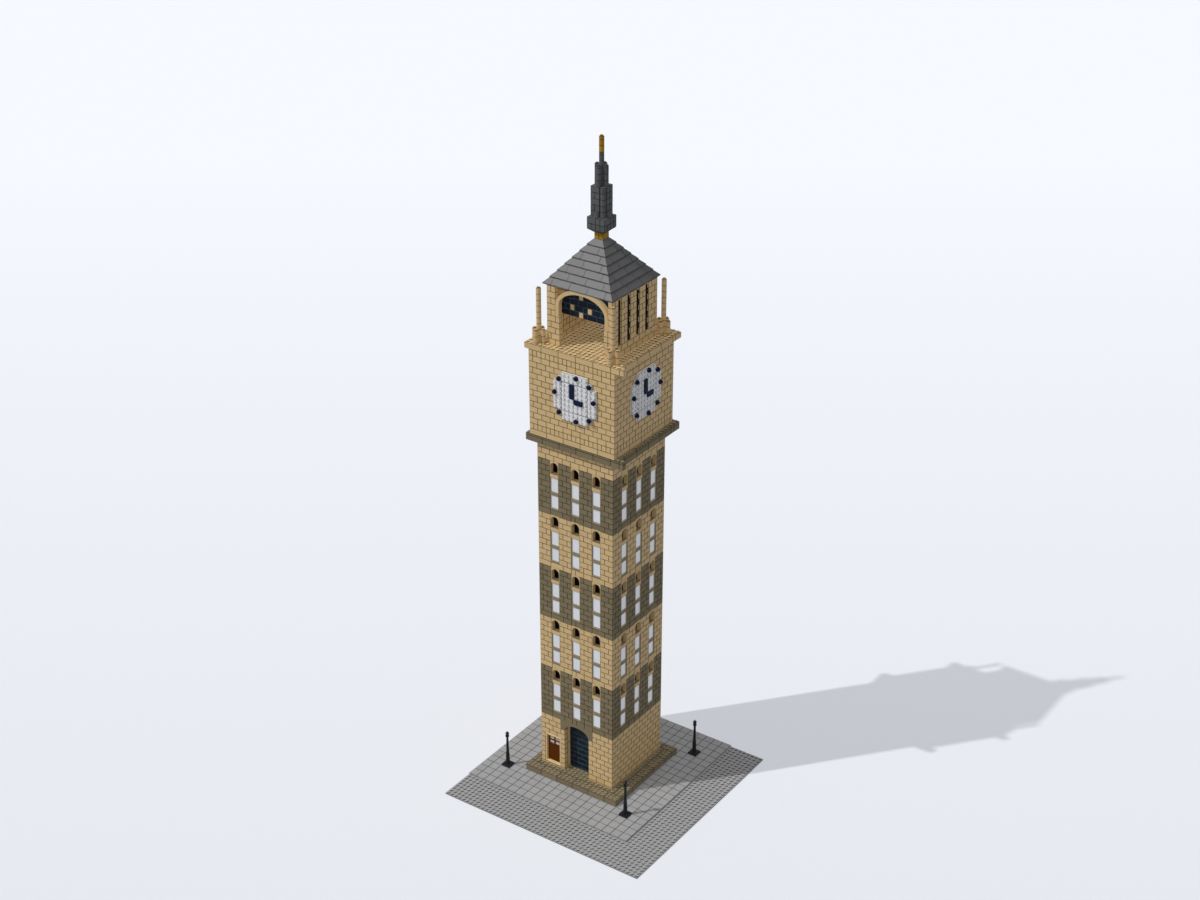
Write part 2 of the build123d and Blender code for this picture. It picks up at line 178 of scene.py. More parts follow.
# the edges of the near-black blue are painted paler, as a highlight
navy = plastic("navy_plastic", (0.006, 0.012, 0.019), (0.010, 0.018, 0.028), joint=9.0, specular=0.2)
ink = plastic("hand_navy_plastic", (0.003, 0.011, 0.044), (0.005, 0.015, 0.058), joint=0.4,
              specular=0.2)
base_grey = plastic("grey_plastic", (0.36, 0.36, 0.363), (0.39, 0.39, 0.393), joint=0.05)
tile_grey = plastic("tile_grey_plastic", (0.36, 0.36, 0.363), (0.39, 0.39, 0.393), joint=0.3)
roof_grey = plastic("roof_grey_plastic", (0.112, 0.112, 0.113), (0.133, 0.133, 0.134), joint=0.25,
                    bump=0.12, grain=1600.0, specular=0.25)
spire_grey = plastic("spire_grey_plastic", (0.093, 0.095, 0.096), (0.125, 0.127, 0.128), joint=0.3)
gold = plastic("pearl_gold_plastic", (0.36, 0.20, 0.008), (0.47, 0.27, 0.012), joint=0.4)
brown = plastic("door_brown_plastic", (0.095, 0.024, 0.001), (0.125, 0.034, 0.001), joint=0.4,
                specular=0.1)
black = plastic("lamp_black_plastic", (0.006, 0.009, 0.012), (0.012, 0.015, 0.02), joint=0.6)
glass = plastic("window_glass_plastic", (0.53, 0.55, 0.58), (0.56, 0.58, 0.61), joint=0.8,
                rough=0.25, bump=0.02)
door_glass = plastic("door_glass_plastic", (0.66, 0.58, 0.49), (0.74, 0.66, 0.57),
                     rough=0.25, bump=0.02)
# near-black: painted shadow at the back of the niches, and painted shade in the slit strips
shadow_black = plastic("niche_shadow_black_plastic", (0.003, 0.003, 0.004), (0.005, 0.005, 0.007),
                       specular=0.05)
print("materials", len(bpy.data.materials))

# %% [markdown]
# ## Window glass
# The panes are clear sheets in front of a pale room, so they look nearly as bright in
# the shade as in the sun. Clear glass would show the tower's empty inside instead, so a
# little glow in an opaque plastic stands for the light behind it.
# %% The glow behind the panes
PANE_GLOW = 0.24
pane_shader = next(n for n in glass.node_tree.nodes if n.type == "BSDF_PRINCIPLED")
pane_shader.inputs["Emission Color"].default_value = (0.90, 0.93, 1.0, 1)
pane_shader.inputs["Emission Strength"].default_value = PANE_GLOW
print("the panes glow by", PANE_GLOW)

# %% [markdown]
# ## Laying and finishing
# A brick could be an instance of one finished mesh, but the walls need bricks of many
# lengths, and one joined mesh a wall is quicker to draw. So `lay` adds one cube to a
# shared bmesh, smaller than its place by the gap that real bricks leave, `soften` bevels
# all the edges of a wall at once, and `finish` makes it a piece of the model.
# %% Helpers for laying and finishing
def new_wall():
    """An empty bmesh whose faces carry a tone."""
    wall = bmesh.new()
    wall.faces.layers.float.new("tone")
    return wall


SPREAD = 0.22    # how far a brick's tone may be from the plain one


def set_tone(wall, verts):
    """All the faces of one brick get the same tone, drawn at random."""
    layer = wall.faces.layers.float["tone"]
    tone = dice.uniform(-SPREAD, SPREAD)
    for face in {f for v in verts for f in v.link_faces}:
        face[layer] = tone


def lay(wall, x, y, z, place=Matrix(), gap=GAP):
    """One brick between pairs of limits, with the gap that toy bricks leave."""
    lows = Vector((x[0], y[0], z[0]))
    highs = Vector((x[1], y[1], z[1]))
    size = highs - lows - Vector((2 * gap, 2 * gap, 2 * gap))
    matrix = place @ Matrix.Translation((lows + highs) / 2) @ Matrix.Diagonal((*size, 1))
    verts = bmesh.ops.create_cube(wall, size=1, matrix=matrix)["verts"]
    set_tone(wall, verts)
    return verts


def soften(wall, width=EDGE, segments=1, edges=None, tone=JOINT_AND_SHADE):
    """The small radius that a mould leaves on every edge, in the tone of a joint."""
    made = bmesh.ops.bevel(wall, geom=edges or wall.edges[:], offset=width, offset_type="OFFSET",
                           segments=segments, profile=0.5, affect="EDGES", material=-1)
    layer = wall.faces.layers.float["tone"]
    for face in made["faces"]:
        face[layer] = tone


def sharp_edges(wall):
    """The rims of round bricks and all edges of square ones, but not the sides' facets."""
    return [e for e in wall.edges if e.calc_face_angle(0) > 1.0]


def finish(wall, name, material, stands_for=(), body="tower", smooth=None):
    """Turns a bmesh into a piece that rides on a body and replaces its CAD nodes."""
    bmesh.ops.recalc_face_normals(wall, faces=wall.faces[:])
    mesh = bpy.data.meshes.new(name)
    wall.to_mesh(mesh)
    wall.free()
    piece = bpy.data.objects.new(name, mesh)
    bpy.context.scene.collection.objects.link(piece)
    mesh.materials.append(material)
    if smooth:
        mesh.shade_smooth()
        mesh.set_sharp_from_angle(angle=math.radians(smooth))
    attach(piece, body)
    if stands_for:
        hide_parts(*stands_for)
    triangles = sum(len(p.vertices) - 2 for p in mesh.polygons)
    print(f"{name}: {triangles} triangles")


def recolour(node, material):
    """A CAD node whose shape is right stays, and only gets this material."""
    slots = frame["nodes"][node].data.materials
    slots.clear()
    slots.append(material)
    print(f"{node}: kept, in another plastic")


# %% [markdown]
# ## Studs
# A stud is a short cylinder. There are more than a thousand, so each has only twelve
# sides, and just the rim of its cap is bevelled, all the rims of a grid in one go. That
# rim faces the light, so on most grids it gets a painted highlight, and the sides are
# painted dark as shade. The cells that something stands on are left out.
# %% Studs
def stud(wall, x, y, z, place=Matrix(), shade=JOINT_AND_SHADE):
    """One stud that stands up from z; gives back the edges of its rim."""
    matrix = place @ Matrix.Translation((x, y, z + STUD_HEIGHT / 2))
    verts = bmesh.ops.create_cone(wall, cap_ends=True, segments=12, radius1=STUD_RADIUS,
                                  radius2=STUD_RADIUS, depth=STUD_HEIGHT, matrix=matrix)["verts"]
    layer = wall.faces.layers.float["tone"]
    up = place.to_3x3() @ Vector((0, 0, 1))
    faces = {f for v in verts for f in v.link_faces}
    # the sides are painted dark as shade, and the cap keeps the plain colour
    for face in faces:
        face[layer] = shade
    cap = max(faces, key=lambda f: f.calc_center_median().dot(up))
    cap[layer] = 0.0
    return cap.edges[:]


def stud_grid(wall, low, high, z, skip=lambda x, y: False, place=Matrix(),
              rim=0.0006, tone=GLINT, shade=JOINT_AND_SHADE):
    """Studs on every cell between two corners, apart from those that are skipped."""
    rims = []
    for i in range(in_studs(high.x - low.x)):
        for j in range(in_studs(high.y - low.y)):
            x = low.x + (i + 0.5) * PITCH
            y = low.y + (j + 0.5) * PITCH
            if not skip(x, y):
                rims += stud(wall, x, y, z, place, shade)
    # the rims take tone, which by default is a painted highlight
    soften(wall, rim, edges=rims, tone=tone)


def inside(low, high, margin=0.0):
    """Gives a test that tells whether a point in plan is within a box."""
    return lambda x, y: (low.x - margin < x < high.x + margin
                         and low.y - margin < y < high.y + margin)


# %% [markdown]
# ## Baseplate and paving
# The baseplate is one thin sheet with studs; the paving on it is smooth square tiles,
# two studs wide. Under the plinth no tile shows, so none is laid there.
# %% Baseplate
plate_low, plate_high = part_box("baseplate")
paving_low, paving_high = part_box("paving")
sheet = new_wall()
lay(sheet, *zip(plate_low, plate_high), gap=0)
soften(sheet, 0.0004)
stud_grid(sheet, plate_low, plate_high, plate_high.z, inside(paving_low, paving_high),
          rim=0.0002, tone=0.0)
finish(sheet, "baseplate_with_studs", base_grey, ["baseplate"])

# %% Paving tiles
plinth_low, plinth_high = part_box("plinth")
tiles = new_wall()
tile = 2 * PITCH
hidden = inside(plinth_low, plinth_high, margin=0.0001)
for i in range(in_studs(paving_high.x - paving_low.x) // 2):
    for j in range(in_studs(paving_high.y - paving_low.y) // 2):
        x = paving_low.x + i * tile
        y = paving_low.y + j * tile
        if hidden(x, y) and hidden(x + tile, y + tile):
            continue
        lay(tiles, (x, x + tile), (y, y + tile), (paving_low.z, paving_high.z), gap=0.00025)
soften(tiles, 0.0004)
finish(tiles, "paving_tiles", tile_grey, ["paving"])

# %% [markdown]
# ## Plinth and footing
# The plinth is one course of long bricks with its studs showing all round the shaft.
# Only its outer rows of bricks can be seen, so the middle is one filler.
# %% A slab of long bricks round a filler
LONG = 4 * PITCH    # the length of a long brick
WIDE = 2 * PITCH    # its width


def long_runs(start, end):
    """Limits of long bricks from start to end, the last one cut to fit."""
    runs = []
    while start < end - GAP:
        runs.append((start, min(start + LONG, end)))
        start += LONG
    return runs


def long_brick_slab(wall, low, high):
    """A course of long bricks round the edge of a slab, with a filler inside."""
    z = (low.z, high.z)
    for y in ((low.y, low.y + WIDE), (high.y - WIDE, high.y)):
        for x in long_runs(low.x, high.x):
            lay(wall, x, y, z)
    for x in ((low.x, low.x + WIDE), (high.x - WIDE, high.x)):
        for y in long_runs(low.y + WIDE, high.y - WIDE):
            lay(wall, x, y, z)
    lay(wall, (low.x + WIDE, high.x - WIDE), (low.y + WIDE, high.y - WIDE), z)


# %% Plinth
infill_low, infill_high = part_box("entrance_infill")
recess_half = 3 * PITCH    # half the width of the entrance recess
recess_low = Vector((axis.x - recess_half, shaft_low.y, 0))
recess_high = Vector((axis.x + recess_half, infill_low.y, 0))
under_shaft = inside(shaft_low, shaft_high)
in_recess = inside(recess_low, recess_high)
plinth = new_wall()
long_brick_slab(plinth, plinth_low, plinth_high)
soften(plinth)
stud_grid(plinth, plinth_low, plinth_high, plinth_high.z,
          lambda x, y: under_shaft(x, y) and not in_recess(x, y))
finish(plinth, "plinth_bricks", dark_tan, ["plinth"])

# %% Footing, left out in the entrance recess, where the plinth's studs run on
def pairs(start, end):
    """Limits of plates two studs wide, side by side from start to end."""
    return [(start + s * PITCH, start + (s + 2) * PITCH) for s in range(0, in_studs(end - start), 2)]


footing = new_wall()
z = (shaft_low.z, shaft_high.z)
for x in pairs(shaft_low.x, recess_low.x) + pairs(recess_high.x, shaft_high.x):
    lay(footing, x, (shaft_low.y, infill_high.y), z)
for x in pairs(shaft_low.x, shaft_high.x):
    for y in ((infill_high.y, axis.y), (axis.y, shaft_high.y)):
        lay(footing, x, y, z)
soften(footing)
finish(footing, "footing_plates", tan, ["footing"])

# %% [markdown]
# ## Running bond
# Bricks two studs long are laid so that each joint falls over the middle of the brick
# below. At a corner, courses run through on the front and back in turn with the sides,
# which is what ties the four walls together. `course_joints` gives the joints of one
# stretch of wall, and `lay_room` goes round the four sides and up.
# %% Running bond round a square room
def course_joints(start, end, odd, step=2):
    """Where the joints are between start and end, in studs from the wall's corner."""
    return [start] + [s for s in range(start + 1, end) if s % step == odd % step] + [end]


def course_z(floor, course):
    return (floor + course * COURSE, floor + (course + 1) * COURSE)


def lay_room(wall, studs_wide, floor, courses, stretches, step=lambda course: 2,
             x=axis.x, y=axis.y, by_course=False):
    """Courses round a room; stretches(turn, course) lists the solid runs in studs.

    The joints change from side to side, or with by_course only from course to course.
    """
    half = studs_wide * PITCH / 2
    for course in range(courses):
        for turn in range(4):
            through = (course + turn) % 2 == 0
            first, last = (0, studs_wide) if through else (1, studs_wide - 1)
            for start, end in stretches(turn, course):
                start, end = max(start, first), min(end, last)
                if end <= start:
                    continue
                odd = course % 2 if by_course else int(not through)
                joints = course_joints(start, end, odd, step(course))
                for a, b in zip(joints, joints[1:]):
                    lay(wall, (a * PITCH - half, b * PITCH - half), (-half, -half + PITCH),
                        course_z(floor, course), side(turn, x, y))


print("an even and an odd course of six studs:", course_joints(0, 6, 0), course_joints(0, 6, 1))

# %% [markdown]
# ## The ground storey
# The front has a door in a frame, a wide arched entrance and piers between them. Its
# other three sides are plain. The stretches leave the door and the arch open.
# %% Ground storey walls
STOREY_COURSES = 10
ground_floor = shaft_high.z
arch_low, arch_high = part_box("entrance_arch")
frame_low, frame_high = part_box("door_frame")
door_from, door_to = in_studs(frame_low.x - shaft_low.x), in_studs(frame_high.x - shaft_low.x)
arch_from, arch_to = in_studs(arch_low.x - shaft_low.x), in_studs(arch_high.x - shaft_low.x)
door_courses = in_courses(frame_high.z - frame_low.z)
arch_course = in_courses(arch_low.z - ground_floor)


def ground_stretches(turn, course):
    if turn:
        return [(0, SHAFT)]
    if course >= arch_course:
        return [(0, arch_from), (arch_to, SHAFT)]
    stretches = [(0, arch_from + 1), (arch_to - 1, SHAFT)]
    if course < door_courses:
        stretches[:1] = [(0, door_from), (door_to, arch_from + 1)]
    return stretches


ground = new_wall()
lay_room(ground, SHAFT, ground_floor, STOREY_COURSES, ground_stretches)
soften(ground)
finish(ground, "ground_storey_bricks", tan,
       ["ground_plain_walls", "ground_corner_pier", "ground_over_door", "ground_middle_pier",
        "ground_right_pier"])

# %% [markdown]
# ## The blind wall
# Behind the arch the entrance ends at a dark wall, two studs back. The arch over it is
# one moulded piece, and its CAD shape is right, so it stays and only gets its colour.
# %% Blind wall behind the entrance arch
infill = new_wall()
infill_x, infill_y, infill_z = zip(infill_low, infill_high)
lay(infill, (recess_low.x, recess_high.x), infill_y, (infill_z[0], ground_floor))
for course in range(STOREY_COURSES):
    joints = course_joints(0, in_studs(infill_x[1] - infill_x[0]), course % 2)
    for a, b in zip(joints, joints[1:]):
        lay(infill, (infill_x[0] + a * PITCH, infill_x[0] + b * PITCH), infill_y,
            course_z(ground_floor, course))
soften(infill)
finish(infill, "entrance_infill_bricks", navy, ["entrance_infill"])
recolour("entrance_arch", dark_tan)

# %% [markdown]
# ## The jambs of the entrance
# The blind wall stands two studs back and the front wall is one stud thick, so the sides
# of the recess need a second stud. They could be ten courses of small bricks, but the
# real ones are smooth, so each side has two tall bricks of five courses.
# %% Tall bricks beside the recess
jambs = new_wall()
tall = STOREY_COURSES / 2 * COURSE
for x in ((recess_low.x - PITCH, recess_low.x), (recess_high.x, recess_high.x + PITCH)):
    for z in (ground_floor, ground_floor + tall):
        lay(jambs, x, (shaft_low.y + PITCH, infill_low.y), (z, z + tall))
soften(jambs)
finish(jambs, "entrance_jambs", tan)

# %% [markdown]
# ## Window storeys
# Every storey has three window columns on each side. Between them the wall is three
# studs wide, with its one joint now at the left and now at the right. The lowest course
# runs on under the windows, with joints in line with their edges. The storeys are dark
# and light in turn.
# %% Walls of the window storeys
STOREYS = range(1, 6)
WINDOW_STARTS = (3, 8, 13)    # the first stud of each window column, two studs wide


def storey_stretches(turn, course):
    """The lowest course goes right across, and the others leave the windows open."""
    if course == 0:
        return [(0, 3), (3, 6), (6, 8), (8, 11), (11, 13), (13, 16), (16, 18)]
    return [(0, 3), (5, 8), (10, 13), (15, 18)]


def storey_step(course):
    return 2 if course else SHAFT // 2


for storey in STOREYS:
    node = f"storey_{storey}_walls"
    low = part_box(node)[0]
    walls = new_wall()
    lay_room(walls, SHAFT, low.z, STOREY_COURSES, storey_stretches, storey_step)
    soften(walls)
    colour, slot = (dark_tan, "dark_tan_plastic") if storey % 2 else (tan, "tan_plastic")
    finish(walls, f"storey_{storey}_bricks", colour, [node])

# %% [markdown]
# ## Windows
# Each window column holds two frames, three courses high, with a pane set back in each.
# Four bars could make a frame, but a real one is a single moulding, so it starts as a
# block, and its face is inset and pushed back for the opening. The pane is a separate,
# glossier block in that recess.
# %% Sizes of a window
SHAFT_FRONT = -SHAFT * PITCH / 2
SET_BACK = 0.0002        # from the bricks' face to the face of a frame or a head
UNIT = 3 * COURSE        # the height of one frame
RAIL = 0.0030            # a frame's foot, and its head where a second one stands on it
BORDER = 0.0007          # a frame's thin edges
RECESS = 0.0030          # from a frame's face to the back of its opening
PANE_Y = (SHAFT_FRONT + 0.0021, SHAFT_FRONT + 0.0032)
FRAME_TONE = -0.4        # frames are a little lighter than the bricks beside them


def window_x(left):
    """Limits of a window column, two studs wide, on the front wall."""
    return (left * PITCH + SHAFT_FRONT, (left + 2) * PITCH + SHAFT_FRONT)


print("window columns start at", [round(window_x(left)[0], 3) for left in WINDOW_STARTS])


# %% Window frames and panes
def window_unit(frames, panes, left, floor, head, place):
    """One frame with its pane; head is the height of its upper rail."""
    x = window_x(left)
    z = (floor, floor + UNIT)
    verts = lay(frames, x, (SHAFT_FRONT + SET_BACK, SHAFT_FRONT + PITCH), z)
    faces = {f for v in verts for f in v.link_faces}
    face = min(faces, key=lambda f: f.calc_center_median().y)
    bmesh.ops.inset_individual(frames, faces=[face], thickness=BORDER, depth=0)
    for v in face.verts:
        v.co.z = z[0] + RAIL if v.co.z < z[0] + COURSE else z[1] - head
    pushed = bmesh.ops.extrude_discrete_faces(frames, faces=[face])["faces"][0]
    bmesh.ops.translate(frames, vec=(0, RECESS, 0), verts=pushed.verts[:])
    whole = set(verts) | set(pushed.verts)
    whole |= {v for w in list(whole) for e in w.link_edges for v in e.verts}
    bmesh.ops.transform(frames, matrix=place, verts=list(whole))
    lay(panes, (x[0] + BORDER, x[1] - BORDER), PANE_Y, (z[0] + RAIL, z[1] - head), place, gap=0)


for storey in STOREYS:
    node = f"storey_{storey}_windows"
    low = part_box(node)[0]
    frames, panes = new_wall(), new_wall()
    for turn in range(4):
        for left in WINDOW_STARTS:
            window_unit(frames, panes, left, low.z, RAIL, side(turn))
            window_unit(frames, panes, left, low.z + UNIT, BORDER, side(turn))
    layer = frames.faces.layers.float["tone"]
    for face in frames.faces:
        face[layer] = FRAME_TONE
    finish(frames, f"storey_{storey}_window_frames", dark_tan)
    soften(panes, 0.0002)
    finish(panes, f"storey_{storey}_window_panes", glass, [node])

# %% [markdown]
# ## Window heads
# Over each window column stands a tan piece: a ledge two plates high, and on it a thin
# shell, open at the front and round at the top, so that its inside is a deep niche. The
# shell's inside and the ledge's top are painted darker, as shade. Two jambs and a fan of
# wedges over the opening leave the hole, so no boolean cut is needed, and a black sheet
# closes the back as painted shadow.
# %% Blocks with any corners
def block_between(wall, place, corner):
    """A six-sided block; corner(right, back, up) gives each of its eight corners."""
    verts = bmesh.ops.create_cube(wall, size=1)["verts"]
    for v, (right, back, up) in [(v, (v.co.x > 0, v.co.y > 0, v.co.z > 0)) for v in verts]:
        v.co = place @ Vector(corner(right, back, up))
    set_tone(wall, verts)
    return verts


NICHE_HALF = 0.91 * PITCH     # half a niche's width
NICHE_DEPTH = 0.93 * PITCH
NICHE_CROWN = 2.78 * COURSE   # from the window's top to the top of the niche
WEDGES = 6                    # blocks in the fan over a niche
# painted shade: the ledge's top and the shell's inside are darker
LEDGE_SHADE_TONE = 0.8              # the shaded top of the ledge
NICHE_SHADE_TONE = 0.35             # the inside of the shell
print("a niche is", round(2 * NICHE_HALF, 4), "wide and", round(NICHE_DEPTH, 4), "deep")


# %% Window heads
def window_head(heads, shadow_sheets, left, floor, top, place):
    """A ledge, two jambs, a fan of wedges over the niche, painted shade inside and a black back that
    is painted shadow.
    """
    x = window_x(left)
    middle = (x[0] + x[1]) / 2
    sides = ((x[0], middle - NICHE_HALF), (middle + NICHE_HALF, x[1]))
    face, back = SHAFT_FRONT + SET_BACK, SHAFT_FRONT + PITCH
    ledge = floor + 2 * PLATE
    spring = floor + NICHE_CROWN - NICHE_HALF
    sill = lay(heads, x, (SHAFT_FRONT, back), (floor, ledge), place)
    made = []
    for jamb in sides:
        made += lay(heads, jamb, (face, back), (ledge, spring), place, TIGHT)
    for wedge in range(WEDGES):

        def corner(right, deep, up):
            angle = math.pi * (wedge if right else wedge + 1) / WEDGES
            z = top - GAP if up else spring + NICHE_HALF * math.sin(angle)
            return (middle + NICHE_HALF * math.cos(angle), back if deep else face, z)

        made += block_between(heads, place, corner)
    # painted shade on the ledge's top and on the shell's inner faces
    layer = heads.faces.layers.float["tone"]
    top_face = max({f for v in sill for f in v.link_faces}, key=lambda f: f.calc_center_median().z)
    top_face[layer] = LEDGE_SHADE_TONE
    home = place.inverted()
    for inner in {f for v in made for f in v.link_faces}:
        inner.normal_update()
        over_niche = abs((home @ inner.calc_center_median()).x - middle) < NICHE_HALF + GAP
        if over_niche and abs((home.to_3x3() @ inner.normal).y) < 0.5:
            inner[layer] = NICHE_SHADE_TONE
    for jamb in sides:
        lay(heads, jamb, (face, back), (spring, top), place, TIGHT)
    # a black sheet at the back, painted shadow
    lay(shadow_sheets, (x[0] + 0.001, x[1] - 0.001), (SHAFT_FRONT + NICHE_DEPTH, back - GAP),
        (ledge, top - 0.001), place, gap=0)


heads, shadow_sheets = new_wall(), new_wall()
for storey in STOREYS:
    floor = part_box(f"storey_{storey}_windows")[1].z
    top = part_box(f"storey_{storey}_walls")[1].z
    for turn in range(4):
        for left in WINDOW_STARTS:
            window_head(heads, shadow_sheets, left, floor, top, side(turn))
finish(heads, "window_head_shells", tan, ["window_heads"])
finish(shadow_sheets, "niche_shadow_backs", shadow_black)

# %% [markdown]
# ## Band, cornices and clock room
# A band of three courses closes the shaft. The two cornices are slabs that stand one
# stud proud at the left, right and back, and end flush at the front, where the front
# row runs on a little further to the right. Their studs show wherever nothing stands.
# %% Band
band_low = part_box("band_walls")[0]
band = new_wall()
lay_room(band, SHAFT, band_low.z, 3, lambda turn, course: [(0, SHAFT)])
soften(band)
finish(band, "band_bricks", tan, ["band_walls"])

# %% Cornices
room_low, room_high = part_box("clock_room_walls")


def cornice(name, node, material, skip, rim=0.0006):
    """A slab of long bricks, its front row one stud longer at the right, and its studs."""
    low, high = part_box(node)
    slab = new_wall()
    layers = [(low.z, high.z)]
    if high.z - low.z > COURSE + GAP:
        layers = [(low.z, low.z + COURSE), (low.z + COURSE, high.z)]
    for bottom, top in layers:
        body_low = Vector((low.x, low.y, bottom))
        body_high = Vector((high.x - PITCH, high.y, top))
        long_brick_slab(slab, body_low, body_high)
        lay(slab, (high.x - PITCH, high.x), (low.y, low.y + PITCH), (bottom, top))
    soften(slab)

    def covered(x, y):
        return skip(x, y) or (x > high.x - PITCH and y > low.y + PITCH)

    stud_grid(slab, low, high, high.z, covered, rim=rim)
    finish(slab, name, material, [node])


cornice("lower_cornice_bricks", "lower_cornice", dark_tan,
        inside(room_low, room_high))

# %% Clock room walls
ROOM = in_studs(room_high.x - room_low.x)
ROOM_COURSES = in_courses(room_high.z - room_low.z)


def room_step(course):
    """Long bricks at the foot, single studs over them and at the top, pairs between."""
    if course == 0:
        return 4
    return 1 if course in (1, ROOM_COURSES - 1) else 2


room = new_wall()
lay_room(room, ROOM, room_low.z, ROOM_COURSES, lambda turn, course: [(0, ROOM)], room_step)
soften(room)
finish(room, "clock_room_bricks", tan, ["clock_room_walls"])

# %% [markdown]
# ## The dials
# A dial is made of white plates whose studs face outwards: a middle panel in three
# plates, two wings and four single cells at the corners. Dark round plates mark the
# hours and dark smooth tiles are the hands. All are laid flat, as on a table, and a
# matrix stands them up on each wall. The front dial stands one stud to the right.
# %% Places on a dial
dial_low, dial_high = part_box("clock_dials")
dial_z = (dial_low.z + dial_high.z) / 2
wall_face = -(room_high.x - room_low.x) / 2
HALF_DIAL = Vector((5 * PITCH, 5 * PITCH, 0))
WIDE_GAP = 0.0004      # round the plates of the wings and corners
# on the dials the painted shade on the sides of the white studs is lighter
DIAL_SHADE = 0.68      # the sides of white studs stay light
# the middles of the cells under marks and hands, in studs from the middle of the dial
MARKS = [(0.5, 4.5), (0.5, -4.5), (-4.5, 0.5), (4.5, 0.5),
         (-3.5, 3.5), (3.5, 3.5), (-3.5, -3.5), (3.5, -3.5)]
HANDS = [(-0.5, 0.5), (-0.5, 1.5), (-0.5, 2.5), (0.5, -0.5), (1.5, -0.5)]


def on_dial(turn, depth):
    """Turns 'up from the table' into 'out from the wall' on one side of the tower."""
    shift = PITCH if turn == 0 else 0.0
    return (side(turn) @ Matrix.Translation((shift, depth, dial_z))
            @ Matrix.Rotation(math.radians(90), 4, "X"))


def without_stud(x, y):
    """Cells under a mark or a hand, and those outside the dial's stepped corners."""
    cell = (round(x / PITCH - 0.5) + 0.5, round(y / PITCH - 0.5) + 0.5)
    near, far = sorted((abs(cell[0]), abs(cell[1])))
    return (near > 3 and far > 4) or cell in MARKS or cell in HANDS


print("the front dial's middle is at", [round(v, 3) for v in on_dial(0, wall_face).translation])

# %% Dial plates
dial_plates = new_wall()


def dial_plate(place, x, z, gap=GAP):
    """A plate between limits in studs from the middle of the dial."""
    lay(dial_plates, [v * PITCH for v in x], [v * PITCH for v in z], (0, PLATE), place, gap)


for turn in range(4):
    place = on_dial(turn, wall_face)
    for z in ((-5, -3), (-3, 3), (3, 5)):
        dial_plate(place, (-3, 3), z)
    for x in ((-5, -3), (3, 5)):
        dial_plate(place, x, (-3, 3), WIDE_GAP)
    for x in ((-4, -3), (3, 4)):
        for z in ((-4, -3), (3, 4)):
            dial_plate(place, x, z, WIDE_GAP)
soften(dial_plates)
for turn in range(4):
    stud_grid(dial_plates, -HALF_DIAL, HALF_DIAL, PLATE, without_stud, on_dial(turn, wall_face),
              rim=0.0003, tone=0.0, shade=DIAL_SHADE)
finish(dial_plates, "dial_plates", white, ["clock_dials"])


# %% Marks and hands
def round_brick(wall, matrix, height, radius=ROUND_RADIUS, sides=16):
    """A round brick or plate whose middle is at the matrix."""
    made = bmesh.ops.create_cone(wall, cap_ends=True, segments=sides, radius1=radius,
                                 radius2=radius, depth=height, matrix=matrix)
    set_tone(wall, made["verts"])


marks, minute, hour = new_wall(), new_wall(), new_wall()
outs = [on_dial(turn, wall_face - PLATE) for turn in range(4)]
for out in outs:
    for x, z in MARKS:
        middle = out @ Matrix.Translation((x * PITCH, z * PITCH, PLATE / 2))
        round_brick(marks, middle, PLATE, sides=20)
    lay(minute, (-PITCH, 0), (0, 3 * PITCH), (0, PLATE), out)
    lay(hour, (0, 2 * PITCH), (-PITCH, 0), (0, PLATE), out)
soften(marks, 0.0005, edges=sharp_edges(marks), tone=0.0)
for out in outs:
    for x, z in MARKS:
        stud(marks, x * PITCH, z * PITCH, PLATE, out)
soften(minute, 0.0004)
soften(hour, 0.0004)
finish(marks, "dial_mark_plates", ink, ["dial_marks"])
finish(minute, "minute_hand_tiles", ink, ["minute_hands"])
finish(hour, "hour_hand_tiles", ink, ["hour_hands"])

# %% [markdown]
# ## The belfry
# The belfry is an open chamber on the studded deck. Its front and back have a thin arch
# between corner piers, and its other sides are pierced by four tall slits with a dark
# strip behind. Dark screens hang behind the arches.
# %% Belfry places
deck_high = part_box("belfry_deck")[1]
pier_low, pier_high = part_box("belfry_corner_piers")
pinnacle_low, pinnacle_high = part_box("pinnacles")
belfry_x = (pier_low.x + pier_high.x) / 2
belfry_y = (pier_low.y + pier_high.y) / 2
BELFRY = in_studs(pier_high.x - pier_low.x)
BELFRY_COURSES = in_courses(pier_high.z - pier_low.z)
ARCH_COURSE = 5         # the first course beside the arches
SLIT_COURSE = 2         # the first course beside the slits
SLITS = (2, 5, 8, 11)   # the studs at which the slits are
print("belfry", BELFRY, "studs wide and", BELFRY_COURSES, "courses high")


# %% Belfry walls
def belfry_stretches(turn, course):
    """The front and back keep their piers; the sides keep what is between the slits."""
    if turn % 2 == 0:
        return [(0, 3), (13, BELFRY)] if course < ARCH_COURSE else [(0, 2), (14, BELFRY)]
    if course < SLIT_COURSE:
        return [(0, BELFRY)]
    return list(zip([0] + [s + 1 for s in SLITS], [*SLITS, BELFRY]))


def lay_in_belfry(wall, turn, x, y, z, gap=GAP):
    """A brick between limits in studs along one side of the belfry and from its face."""
    half = BELFRY / 2
    lay(wall, [(v - half) * PITCH for v in x], [(v - half) * PITCH for v in y], z,
        side(turn, belfry_x, belfry_y), gap)


belfry = new_wall()
lay_room(belfry, BELFRY, deck_high.z, BELFRY_COURSES, belfry_stretches,
         x=belfry_x, y=belfry_y, by_course=True)
slit_courses = [(turn, slit, course) for turn in (1, 3) for slit in SLITS
                for course in range(SLIT_COURSE, BELFRY_COURSES)]
for turn, slit, course in slit_courses:
    lay_in_belfry(belfry, turn, (slit, slit + 1), (0.7, 1), course_z(deck_high.z, course))
soften(belfry)
finish(belfry, "belfry_bricks", tan, ["belfry_corner_piers", "belfry_side_walls"])
recolour("belfry_arches", tan)

